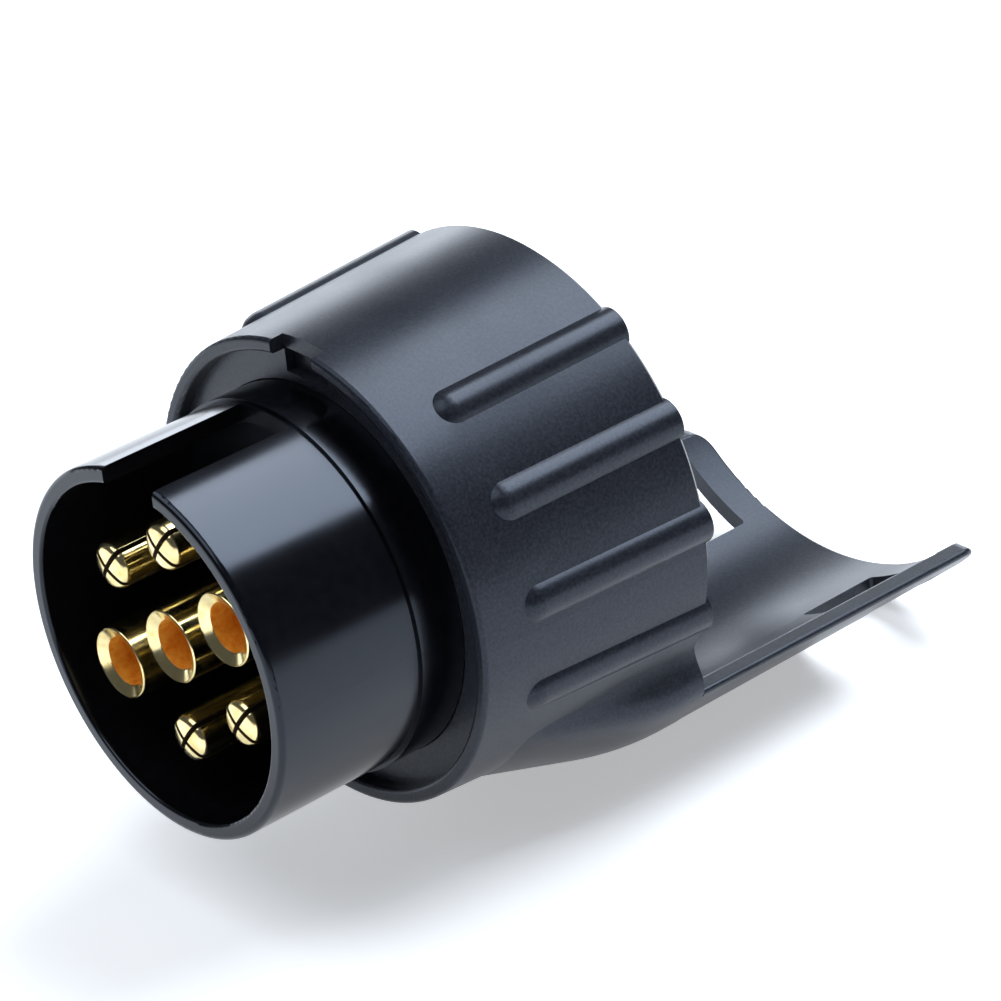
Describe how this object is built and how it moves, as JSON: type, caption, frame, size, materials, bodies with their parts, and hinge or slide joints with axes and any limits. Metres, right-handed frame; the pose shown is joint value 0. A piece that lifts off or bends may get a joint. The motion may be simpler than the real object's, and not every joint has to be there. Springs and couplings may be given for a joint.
{
  "type": "trailer wiring connector",
  "caption": "Short trailer wiring adapter: keyed round plug with brass pins and tubes in front, ribbed grip shell, bayonet socket behind and a half-pipe tail under it",
  "frame": {"origin": "centre of the plug's mating face, on the plug axis", "axes": "+Y from the plug's mating face to the tail, +Z towards the keyway, tail at -Z"},
  "size_m": [0.0536, 0.0896, 0.0555],
  "materials": {
    "shell_plastic": "satin",
    "insert_plastic": "gloss",
    "carrier_plastic": "satin",
    "contact_brass": "polished",
    "seal_rubber": "matte",
    "screw_steel": "satin",
    "lead_yellow": "satin",
    "lead_blue": "satin",
    "lead_white": "satin",
    "lead_green": "satin",
    "lead_brown": "satin",
    "lead_red": "satin",
    "lead_black": "satin"
  },
  "bodies": {
    "root": {"grip_shell": "shell_plastic", "plug_insert": "insert_plastic", "collar_gasket": "seal_rubber", "contact_retainer": "carrier_plastic", "socket_carrier": "carrier_plastic", "socket_face_seal": "seal_rubber", "clamp_screws": "screw_steel", "plug_pin_1": "contact_brass", "plug_pin_2": "contact_brass", "plug_pin_3": "contact_brass", "plug_pin_4": "contact_brass", "plug_tube_1": "contact_brass", "plug_tube_2": "contact_brass", "plug_tube_3": "contact_brass", "socket_contact_1": "contact_brass", "socket_contact_2": "contact_brass", "socket_contact_3": "contact_brass", "socket_contact_4": "contact_brass", "socket_contact_5": "contact_brass", "socket_contact_6": "contact_brass", "socket_contact_7": "contact_brass", "lead_1": "lead_yellow", "lead_2": "lead_blue", "lead_3": "lead_white", "lead_4": "lead_green", "lead_5": "lead_brown", "lead_6": "lead_red", "lead_7": "lead_black"}
  },
  "joints": []
}
